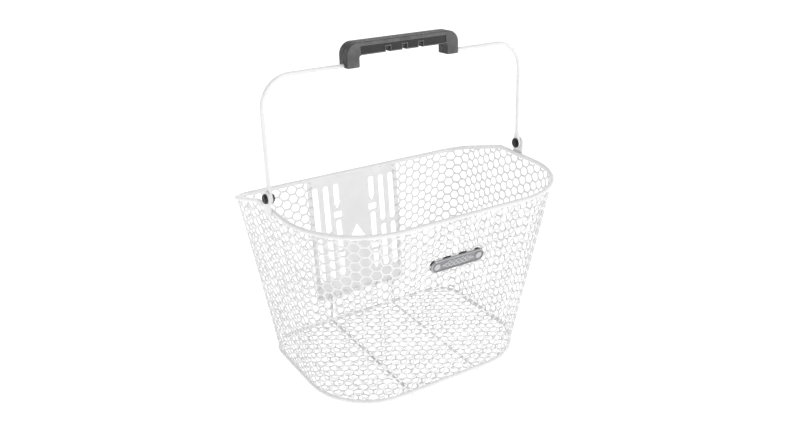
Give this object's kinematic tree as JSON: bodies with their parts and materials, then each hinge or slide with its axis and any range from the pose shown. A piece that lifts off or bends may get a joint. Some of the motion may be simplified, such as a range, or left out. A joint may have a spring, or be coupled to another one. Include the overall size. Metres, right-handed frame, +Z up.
{
  "type": "bicycle basket",
  "caption": "Tapered honeycomb-mesh wire basket for a handlebar, with a slotted bracket plate in its back wall and a folding wire bail with a plastic grip.",
  "frame": {"origin": "on the ground below the middle of the rim", "axes": "+X to the basket's right, +Y to the back wall that carries the bracket plate, +Z up"},
  "size_m": [0.3662, 0.2594, 0.41],
  "materials": {
    "white_wire": "gloss white powder coat",
    "white_mesh": "gloss white powder coat",
    "plate": "satin white powder coat",
    "grip": "fine moulded texture, dark grey",
    "dark_screws": "black oxide",
    "nylon": "natural nylon",
    "badge": "brushed",
    "rivets": "plain",
    "badge_backing": "black"
  },
  "bodies": {
    "basket": {"top_rim": "white_wire", "base_ring": "white_wire", "wall_mesh": "white_mesh", "floor_mesh": "white_mesh", "mount_plate": "plate", "left_support_wire": "white_wire", "right_support_wire": "white_wire", "left_pivot_strap": "white_wire", "right_pivot_strap": "white_wire", "left_pivot_screw": "dark_screws", "right_pivot_screw": "dark_screws", "left_pivot_spacer": "nylon", "right_pivot_spacer": "nylon", "left_pivot_washer": "dark_screws", "right_pivot_washer": "dark_screws", "left_pivot_nut": "dark_screws", "right_pivot_nut": "dark_screws", "badge": "badge", "badge_back_plate": "badge_backing", "badge_rivets": "rivets"},
    "bail": {"bail_wire": "white_wire", "grip_front_half": "grip", "grip_rear_half": "grip"}
  },
  "joints": [
    {"name": "bail_swing", "type": "hinge", "parent": "basket", "child": "bail", "pos_m": [0, 0.001, 0.252], "axis": [1, 0, 0], "range_deg": [-100, 93]}
  ]
}
